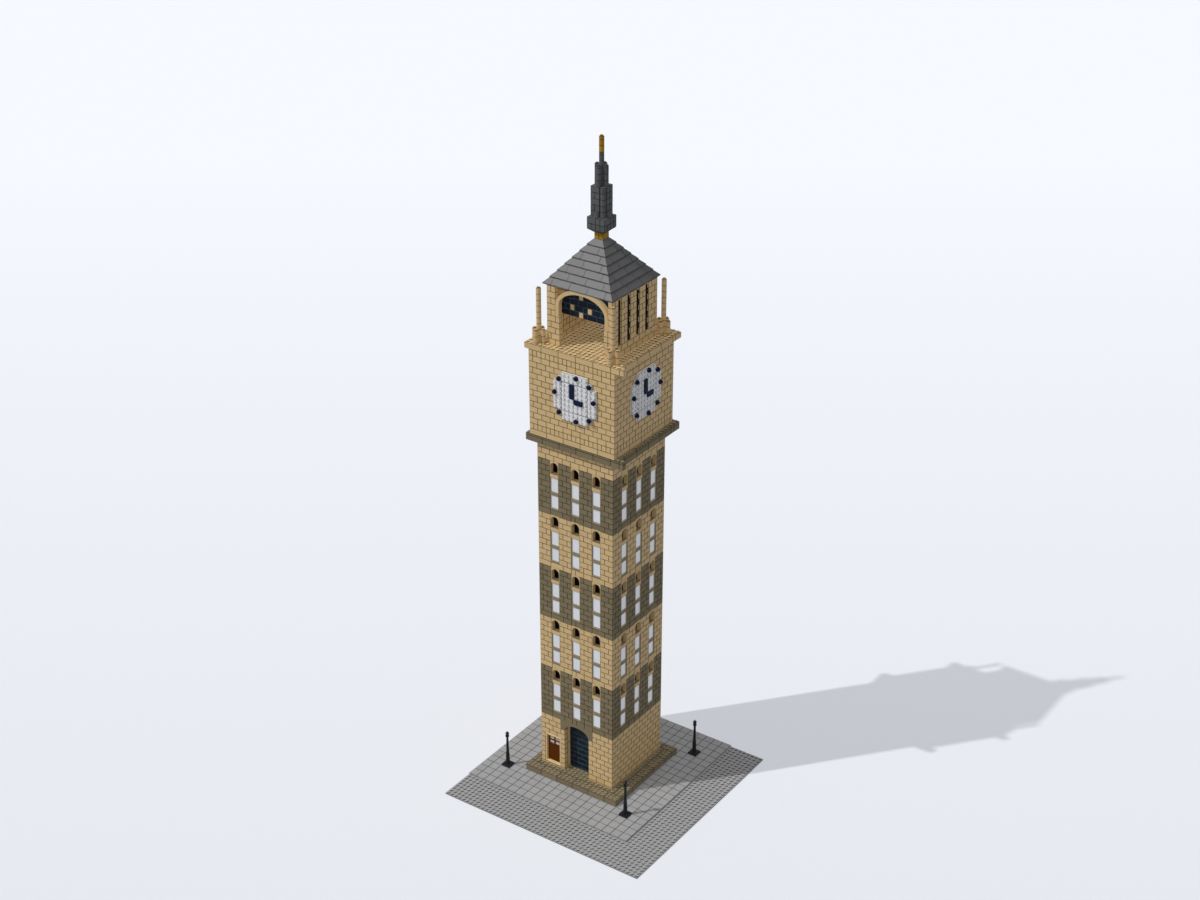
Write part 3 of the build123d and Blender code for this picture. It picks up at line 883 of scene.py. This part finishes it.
# %% [markdown]
# ## Strips and screens of the belfry
# The slits' strips are dark bricks, painted near-black as shade, that step in and out
# from course to course, apart from one strip beside a corner, which stays at one depth.
# The screens hang two studs back from the belfry's face. They are dark, with tan bricks
# at their ends and a few single ones between. Plain sheets would do from far off, but up
# close the steps show.
# %% Dark strips in the slits
strips = new_wall()
strip_top = pier_high.z - 0.5 * COURSE
for turn, slit, course in slit_courses:
    low, high = course_z(deck_high.z, course)
    depth = 0.12 if (course + slit) % 2 and slit != SLITS[0] else 0.32
    lay_in_belfry(strips, turn, (slit, slit + 1), (depth, 0.69), (low, min(high, strip_top)),
                  gap=GAP / 2)
soften(strips, 0.0002)
# the strips take the near-black plastic, as painted shade
finish(strips, "belfry_slit_bricks", shadow_black, ["belfry_slit_strips"])

# %% Screens behind the arches
SQUARES = {0: [6], 1: [4, 8], 3: [6]}    # the tan squares of a course, by their first stud
screen, squares = new_wall(), new_wall()
screen_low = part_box("belfry_screens")[0]
for turn in (0, 2):
    for course in range(BELFRY_COURSES - ARCH_COURSE):
        ends = [1, 3 if course > 2 else 2]
        for square in SQUARES.get(course, []):
            ends += [square, square + 1]
        ends += [BELFRY - 2, BELFRY - 1]
        for index, (start, end) in enumerate(zip(ends, ends[1:])):
            wall = screen if index % 2 else squares
            joints = course_joints(start, end, course % 2)
            for stretch in zip(joints, joints[1:]):
                lay_in_belfry(wall, turn, stretch, (2, 3), course_z(screen_low.z, course))
soften(screen, 0.0005)
soften(squares)
finish(screen, "belfry_screen_bricks", navy, ["belfry_screens"])
finish(squares, "belfry_screen_squares", tan)

# %% [markdown]
# ## The deck
# The deck is made like the cornice. Its studs show round the belfry and inside it, and
# only the cells under walls, piers and the pinnacles' crosses are left without one.
# %% Deck
def corners(low, high, inset):
    """Four places in plan, each as far in from a corner of a box."""
    return [(x, y) for x in (low.x + inset, high.x - inset) for y in (low.y + inset, high.y - inset)]


pinnacle_places = corners(pinnacle_low, pinnacle_high, 1.5 * PITCH)


def under_belfry(x, y):
    """Cells of the deck that a wall, a pier or a pinnacle stands on."""
    dx = (x - pier_low.x) / PITCH
    dy = (y - pier_low.y) / PITCH
    on_side = 0 < dy < BELFRY and (0 < dx < 1 or BELFRY - 1 < dx < BELFRY)
    on_front = 0 < dy < 1 and (0 < dx < 3 or 13 < dx < BELFRY)
    on_back = BELFRY - 1 < dy < BELFRY and (0 < dx < 2 or 12 < dx < BELFRY)
    on_cross = any(abs(x - cx) + abs(y - cy) < 1.5 * PITCH for cx, cy in pinnacle_places)
    return on_side or on_front or on_back or on_cross


cornice("belfry_deck_bricks", "belfry_deck", tan, under_belfry, rim=0.0004)

# %% [markdown]
# ## Pinnacles and round columns
# A round column is a stack of round bricks, one stud across. Each is a cone primitive
# with equal radii, one course high, and the bevel on its rims makes the dark line
# between two bricks. Four short columns stand round a tall one on a cross of plates.
# %% Round columns
def round_column(wall, x, y, bottom, top, place=Matrix(), radius=ROUND_RADIUS):
    """A stack of round bricks, the last one cut off at the top."""
    z = bottom
    while z < top - GAP:
        height = min(COURSE, top - z)
        middle = place @ Matrix.Translation((x, y, z + height / 2))
        round_brick(wall, middle, height - 2 * GAP, radius)
        z += height


AROUND = ((-PITCH, 0), (PITCH, 0), (0, -PITCH), (0, PITCH))
pinnacle = new_wall()
tops = []
foot = deck_high.z + PLATE
for x, y in pinnacle_places:
    across = (x - PITCH / 2, x + PITCH / 2)
    z = (deck_high.z, foot)
    lay(pinnacle, (x - 1.5 * PITCH, x + 1.5 * PITCH), (y - PITCH / 2, y + PITCH / 2), z)
    lay(pinnacle, across, (y - 1.5 * PITCH, y - PITCH / 2), z)
    lay(pinnacle, across, (y + PITCH / 2, y + 1.5 * PITCH), z)
    for dx, dy in AROUND:
        tops.append((x + dx, y + dy, foot + 2 * COURSE))
        round_column(pinnacle, x + dx, y + dy, foot, foot + 2 * COURSE)
    tops.append((x, y, pinnacle_high.z))
    round_column(pinnacle, x, y, foot, pinnacle_high.z)
soften(pinnacle, 0.0004, edges=sharp_edges(pinnacle))
for top in tops:
    stud(pinnacle, *top)
finish(pinnacle, "pinnacle_bricks", tan, ["pinnacles"])

# %% [markdown]
# ## The roof
# Slope bricks have a short upright lip and then a slope, so each course shows a step.
# One pyramid would be simpler, but it has no steps. So a cube's corners are moved to the
# ends of the lip, its top is drawn up and back for the slope, and the bricks at the
# four hips are cut on the diagonal.
# %% Slope bricks
roof_low, roof_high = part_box("roof")
roof_x = (roof_low.x + roof_high.x) / 2
roof_y = (roof_low.y + roof_high.y) / 2
ROOF_COURSES = in_courses(roof_high.z - roof_low.z)
LIP = 0.0016          # the upright foot of a slope brick
TINY = 0.00001        # less than this apart counts as the same place
roof = new_wall()


def slope_brick(left, right, reach, z, depth, place):
    """One brick of a roof course: a lip and a slope, mitred where it ends at a hip."""
    def at_hip(end):
        return abs(abs(end) - reach) < TINY

    def lip_corner(is_right, deep, up):
        y = depth - reach if deep else -reach
        end = right if is_right else left
        # a hip end follows the diagonal, a plain end goes straight back
        x = math.copysign(-y, end) if at_hip(end) else end
        return (x - GAP if is_right else x + GAP, y, z + (LIP if up else GAP))

    verts = block_between(roof, place, lip_corner)
    faces = {f for v in verts for f in v.link_faces}
    top = max(faces, key=lambda f: f.calc_center_median().z)
    raised = bmesh.ops.extrude_discrete_faces(roof, faces=[top])["faces"][0]
    home = place.inverted()
    centre = (home @ raised.calc_center_median()).x
    for v in raised.verts:
        x, y = (home @ v.co).xy
        end = right if x > centre else left
        if y < -reach + TINY:
            y += PITCH
            x = math.copysign(-y - GAP, end) if at_hip(end) else x
        v.co = place @ Vector((x, y, z + COURSE - GAP))


print("roof", ROOF_COURSES, "courses of slope bricks")

# %% Roof courses
for course in range(ROOF_COURSES):
    reach = (roof_high.x - roof_low.x) / 2 - course * PITCH
    z = roof_low.z + course * COURSE
    wide = in_studs(2 * reach)
    joints = course_joints(0, wide, 0 if course % 2 else 2, 4) if wide > 4 else [0, wide]
    for turn in range(4):
        for a, b in zip(joints, joints[1:]):
            slope_brick(a * PITCH - reach, b * PITCH - reach, reach, z, min(2 * PITCH, reach),
                        side(turn, roof_x, roof_y))
soften(roof, 0.0002)
finish(roof, "roof_slope_bricks", roof_grey, ["roof"])

# %% [markdown]
# ## The spire
# A gold neck carries a base that widens upwards. The base's foot is made of four blocks
# that meet at the hips, so that its corners are mitred like those of the roof.
# %% Spire neck
neck_low, neck_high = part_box("spire_neck")
neck_x, neck_y, neck_z = zip(neck_low, neck_high)
neck = new_wall()
for x in ((neck_x[0], roof_x), (roof_x, neck_x[1])):
    lay(neck, x, neck_y, neck_z)
soften(neck, 0.0004)
finish(neck, "spire_neck_bricks", gold, ["spire_neck"])


# %% Spire base
def on_axis(reach):
    """Limits in plan of a block round the roof's middle; reach is in studs."""
    return ((roof_x - reach * PITCH, roof_x + reach * PITCH),
            (roof_y - reach * PITCH, roof_y + reach * PITCH))


base_low, base_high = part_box("spire_base")
base = new_wall()
flare_top = base_low.z + 2 * PLATE


def flare(right, deep, up):
    """The base is one stud each way from its middle at its foot and two at its top."""
    y = -0.2 * PITCH if deep else (-2 if up else -1) * PITCH
    return (math.copysign(-y - GAP, 1 if right else -1), y, flare_top if up else base_low.z)


for turn in range(4):
    place = side(turn, roof_x, roof_y)
    block_between(base, place, flare)
    for layer, cells in enumerate(((0, 1, 2, 3), (0, 2, 3))):
        for a, b in zip(cells, cells[1:]):
            lay(base, ((a - 2) * PITCH, (b - 2) * PITCH), (-2 * PITCH, -PITCH),
                course_z(flare_top, layer), place)
lay(base, *on_axis(1), (flare_top, base_high.z))
soften(base)
finish(base, "spire_base_bricks", spire_grey, ["spire_base"])

# %% [markdown]
# ## Spire body and columns
# The body is three studs wide, and at two opposite corners round bricks stand in for
# its square ones. Above it the same cross of columns as in the pinnacles carries on, and
# the finial is one gold column, whose rims are rounder.
# %% Spire body
body_low, body_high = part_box("spire_body")
spire_body = new_wall()
edge_x = [v * PITCH for v in (-1.5, -0.5, 0.5)]
for course in range(in_courses(body_high.z - body_low.z)):
    z = course_z(body_low.z, course)
    cuts = edge_x if course % 2 else edge_x[::2]
    for turn in (0, 2):
        place = side(turn, roof_x, roof_y)
        for x in zip(cuts, cuts[1:]):
            lay(spire_body, x, (-1.5 * PITCH, -0.5 * PITCH), z, place)
        lay(spire_body, (0.5 * PITCH, 1.5 * PITCH), (-0.5 * PITCH, 0.5 * PITCH), z, place)
    lay(spire_body, *on_axis(0.5), z)
for turn in (0, 2):
    round_column(spire_body, PITCH, -PITCH, body_low.z, body_high.z, side(turn, roof_x, roof_y))
for turn in range(4):
    round_column(spire_body, 0, -1.5 * PITCH, *course_z(body_low.z, 0), side(turn, roof_x, roof_y),
                 radius=ROUND_RADIUS - 2 * GAP)
soften(spire_body, edges=sharp_edges(spire_body))
finish(spire_body, "spire_body_bricks", spire_grey, ["spire_body"])

# %% Spire columns
column_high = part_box("spire_columns")[1]
columns = new_wall()
short_top = body_high.z + 3 * COURSE + PLATE
sunk = 0.2 * STUD_HEIGHT    # the short columns' studs are a little lower
round_column(columns, roof_x, roof_y, body_high.z, column_high.z)
for dx, dy in AROUND:
    round_column(columns, roof_x + dx, roof_y + dy, body_high.z, short_top)
soften(columns, 0.0004, edges=sharp_edges(columns))
for dx, dy in AROUND:
    stud(columns, roof_x + dx, roof_y + dy, short_top - sunk)
finish(columns, "spire_column_bricks", spire_grey, ["spire_columns"])

# %% Finial
tip_low, tip_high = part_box("finial")
tip = new_wall()
shoulder = tip_high.z - STUD_HEIGHT
round_column(tip, roof_x, roof_y, tip_low.z, shoulder, radius=ROUND_RADIUS + GAP / 2)
soften(tip, 0.0006, 2, edges=sharp_edges(tip))
stud(tip, roof_x, roof_y, shoulder)
finish(tip, "finial_bricks", gold, ["finial"])

# %% [markdown]
# ## The door
# The leaf hangs on two pins in its frame and turns outwards. It has a border of rails
# and stiles, four small panes in its upper third and a knob. It could be one block with
# holes, but bars round one sheet of glass need no cuts. The leaf rides on the door's body.
# %% Door frame
BAR = 0.003         # the frame's bars
bars = new_wall()
bars_x, bars_y, bars_z = zip(frame_low, frame_high)
upright_z = (bars_z[0] + BAR, bars_z[1] - BAR)
lay(bars, (bars_x[0], bars_x[0] + BAR), bars_y, upright_z, gap=TIGHT)
lay(bars, (bars_x[1] - BAR, bars_x[1]), bars_y, upright_z, gap=TIGHT)
lay(bars, bars_x, bars_y, (bars_z[1] - BAR, bars_z[1]), gap=TIGHT)
lay(bars, bars_x, bars_y, (bars_z[0], bars_z[0] + BAR), gap=TIGHT)
# the bars' edges are painted lighter, as a highlight
soften(bars, 0.0003, tone=GLINT)
finish(bars, "door_frame_bars", tan, ["door_frame"])

# %% Door leaf
leaf_low, leaf_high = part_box("door_leaf")
PIN = 0.0016        # the height of a pin, over and under the leaf
STILE = 0.003       # the leaf's border
MUNTIN = 0.0011     # half of the bars between its panes
PROUD = 0.0007      # the lower panel, on both faces
leaf_x, leaf_y, pins_z = zip(leaf_low, leaf_high)
leaf_z = (pins_z[0] + PIN, pins_z[1] - PIN)
glass_z = (leaf_z[1] - 0.0165, leaf_z[1] - STILE)
inner_x = (leaf_x[0] + STILE, leaf_x[1] - STILE)
middle_x = (leaf_x[0] + leaf_x[1]) / 2
middle_z = (glass_z[0] + glass_z[1]) / 2
door = new_wall()
lay(door, leaf_x, leaf_y, (leaf_z[0], glass_z[0]), gap=0)
lay(door, leaf_x, leaf_y, (glass_z[1], leaf_z[1]), gap=0)
lay(door, (leaf_x[0], inner_x[0]), leaf_y, glass_z, gap=0)
lay(door, (inner_x[1], leaf_x[1]), leaf_y, glass_z, gap=0)
lay(door, (middle_x - MUNTIN, middle_x + MUNTIN), leaf_y, glass_z, gap=0)
lay(door, inner_x, (leaf_y[0] + GAP, leaf_y[1] - GAP), (middle_z - MUNTIN, middle_z + MUNTIN), gap=0)
for y in (leaf_y[0] - PROUD, leaf_y[1]):
    lay(door, inner_x, (y, y + PROUD), (leaf_z[0] + STILE, glass_z[0] - STILE), gap=0)
soften(door, 0.00025)

# %% Knob, pins and panes of the door
knob = Matrix.Translation((leaf_x[1] - 0.0024, leaf_y[0] - 0.0009, leaf_z[0] + 0.026))
bmesh.ops.create_uvsphere(door, u_segments=14, v_segments=8, radius=0.0011, matrix=knob)
joint_x, joint_y = frame["joints"][0]["pos_m"][:2]
for z in (pins_z[0], leaf_z[1]):
    bmesh.ops.create_cone(door, cap_ends=True, segments=20, radius1=0.001, radius2=0.001, depth=PIN,
                          matrix=Matrix.Translation((joint_x, joint_y, z + PIN / 2)))
finish(door, "door_leaf_moulding", brown, ["door_leaf"], body="door")
lights = new_wall()
lay(lights, inner_x, (leaf_y[0] + 0.0012, leaf_y[1] - 0.0012), glass_z, gap=0)
finish(lights, "door_leaf_panes", door_glass, body="door")

# %% [markdown]
# ## Street lamps
# A lamp is a foot ring, a tapered post and two discs round a thin neck under a small
# dome. It could be a stack of cones, but it is one turned moulding, so `spin` turns its
# outline round its own axis.
# %% Lamps
lamp_low, lamp_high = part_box("lamp_posts")
# radius and height of each turn of the outline, from the ground up
profile = [(0.0, 0.0), (0.0042, 0.0), (0.0042, 0.0018), (0.0038, 0.0026), (0.0036, 0.0060),
           (0.0034, 0.0070), (0.0031, 0.0200), (0.0028, 0.0206), (0.0030, 0.0216), (0.0030, 0.0238),
           (0.0024, 0.0246), (0.0019, 0.0560), (0.0022, 0.0566), (0.0033, 0.0572), (0.0033, 0.0590),
           (0.0017, 0.0596), (0.0017, 0.0622), (0.0032, 0.0628), (0.0032, 0.0640), (0.0016, 0.0652),
           (0.0014, 0.0668), (0.0, 0.0672)]
lamp_height = profile[-1][1]
lamp_places = corners(lamp_low, lamp_high, PITCH)
lamps = new_wall()
for x, y in lamp_places:
    lay(lamps, (x - PITCH, x + PITCH), (y - PITCH, y + PITCH), (lamp_low.z, lamp_low.z + PLATE))
soften(lamps, 0.0004)
for x, y in lamp_places:
    centre = Vector((x, y, lamp_low.z))
    line = []
    for radius, z in profile:
        # the outline is squeezed, so that its foot stands on the plate
        line.append(lamps.verts.new(centre + Vector((radius, 0, z + PLATE * (1 - z / lamp_height)))))
    edges = [lamps.edges.new(pair) for pair in zip(line, line[1:])]
    bmesh.ops.spin(lamps, geom=line + edges, cent=centre, axis=(0, 0, 1), angle=math.tau,
                   steps=16, use_merge=True)
bmesh.ops.remove_doubles(lamps, verts=lamps.verts[:], dist=TINY)
finish(lamps, "street_lamps", black, ["lamp_posts"], smooth=35)

# %% [markdown]
# ## Floor
# The floor is a large pale sheet. It glows a little, so that the shadow on it stays
# pale, and it throws no light on the tower, which keeps the shaded sides neutral.
# %% Floor
floor = bmesh.new()
bmesh.ops.create_grid(floor, x_segments=1, y_segments=1, size=40)
floor_mesh = bpy.data.meshes.new("floor")
floor.to_mesh(floor_mesh)
floor.free()
floor_object = bpy.data.objects.new("floor", floor_mesh)
floor_object.location = (0, 0, plate_low.z - 0.0002)
floor_object.visible_diffuse = False
floor_object.visible_glossy = False
bpy.context.scene.collection.objects.link(floor_object)
print("floor at", round(floor_object.location.z, 4))

# %% The floor's paper
paper = bpy.data.materials.new("pale_floor")
paper.use_nodes = True
paper_tree = paper.node_tree
paper_shader = paper_tree.nodes["Principled BSDF"]
for key, value in (("Base Color", (0.60, 0.617, 0.65, 1)), ("Emission Color", (0.905, 0.931, 1.0, 1)),
                   ("Roughness", 0.9), ("Specular IOR Level", 0.1)):
    paper_shader.inputs[key].default_value = value
spot = add_node(paper_tree, "TexCoord")
turned = add_node(paper_tree, "Mapping", {"Rotation": (0, 0, math.radians(-35))})
apart = add_node(paper_tree, "SeparateXYZ")
# the glow grows from the near side to the far side
fade = add_node(paper_tree, "MapRange",
                {"From Min": -0.5, "From Max": 3.0, "To Min": 0.268, "To Max": 0.418})
join(paper_tree, (spot, "Object", turned, "Vector"), (turned, "Vector", apart, "Vector"),
     (apart, "Y", fade, "Value"), (fade, "Result", paper_shader, "Emission Strength"))
floor_mesh.materials.append(paper)
print("floor in", paper.name)

# %% [markdown]
# ## Sky
# The sky only fills the shade, so it is faint, and a little stronger from below, as if a
# pale table threw light back up. Seen directly it has its full strength, which hides
# the floor's far edge.
# %% Sky
world = bpy.data.worlds.new("studio")
bpy.context.scene.world = world
world.use_nodes = True
sky_tree = world.node_tree
sky = sky_tree.nodes["Background"]
sky.inputs["Color"].default_value = (0.92, 0.94, 1.0, 1)
heading = add_node(sky_tree, "TexCoord")
height = add_node(sky_tree, "SeparateXYZ")
above = add_node(sky_tree, "MapRange",
                 {"From Min": -0.3, "From Max": 0.3, "To Min": 0.31, "To Max": 0.23})
seen = add_node(sky_tree, "LightPath")
shown = add_node(sky_tree, "Math", operation="MAXIMUM")
join(sky_tree, (heading, "Generated", height, "Vector"), (height, "Z", above, "Value"),
     (above, "Result", shown, 0), (seen, "Is Camera Ray", shown, 1), (shown, 0, sky, "Strength"))
print("sky", world.name)

# %% [markdown]
# ## Lights
# A small sun from the front left gives the long shadow to the right. One sun alone would
# leave the belfry's inside black, so three weak suns without shadows light it from all
# round.
# %% Sun and fill lights
def add_sun(name, energy, direction, angle, color=(1, 1, 1), shadow=True):
    light = bpy.data.lights.new(name, "SUN")
    light.energy = energy
    light.angle = math.radians(angle)
    light.color = color
    light.use_shadow = shadow
    holder = bpy.data.objects.new(name, light)
    holder.rotation_euler = Vector(direction).to_track_quat("-Z", "Y").to_euler()
    bpy.context.scene.collection.objects.link(holder)
    print(f"{name}: strength {energy}")


SUN_HEADING = (78, 93.6, -138.8)
WARM = (1.0, 0.985, 0.96)
add_sun("sun", 1.76, SUN_HEADING, 0.7, WARM)
for number, bearing in enumerate((30, 150, 270)):
    turn = math.radians(bearing)
    add_sun(f"fill_{number}", 0.5, (math.cos(turn), math.sin(turn), -0.7), 20, shadow=False)

# %% [markdown]
# ## Camera
# The camera goes round the tower from the front to the right by its azimuth and up by
# its elevation, and looks at a point in the middle of the shaft.
# %% Camera
bpy.context.scene.view_settings.view_transform = "Standard"
aim = Vector((-0.034, 0.0306, 0.5955))
distance = 3.2698
azimuth = math.radians(34.99)
elevation = math.radians(27.535)
away = Vector((math.sin(azimuth) * math.cos(elevation), -math.cos(azimuth) * math.cos(elevation),
               math.sin(elevation)))
camera = bpy.data.cameras.new("camera")
camera.lens = 62.61
camera.sensor_width = 36
camera.clip_end = 100
camera_object = bpy.data.objects.new("camera", camera)
camera_object.location = aim + away * distance
camera_object.rotation_euler = (-away).to_track_quat("-Z", "Y").to_euler()
bpy.context.scene.collection.objects.link(camera_object)
bpy.context.scene.camera = camera_object
print("camera at", [round(v, 3) for v in camera_object.location])
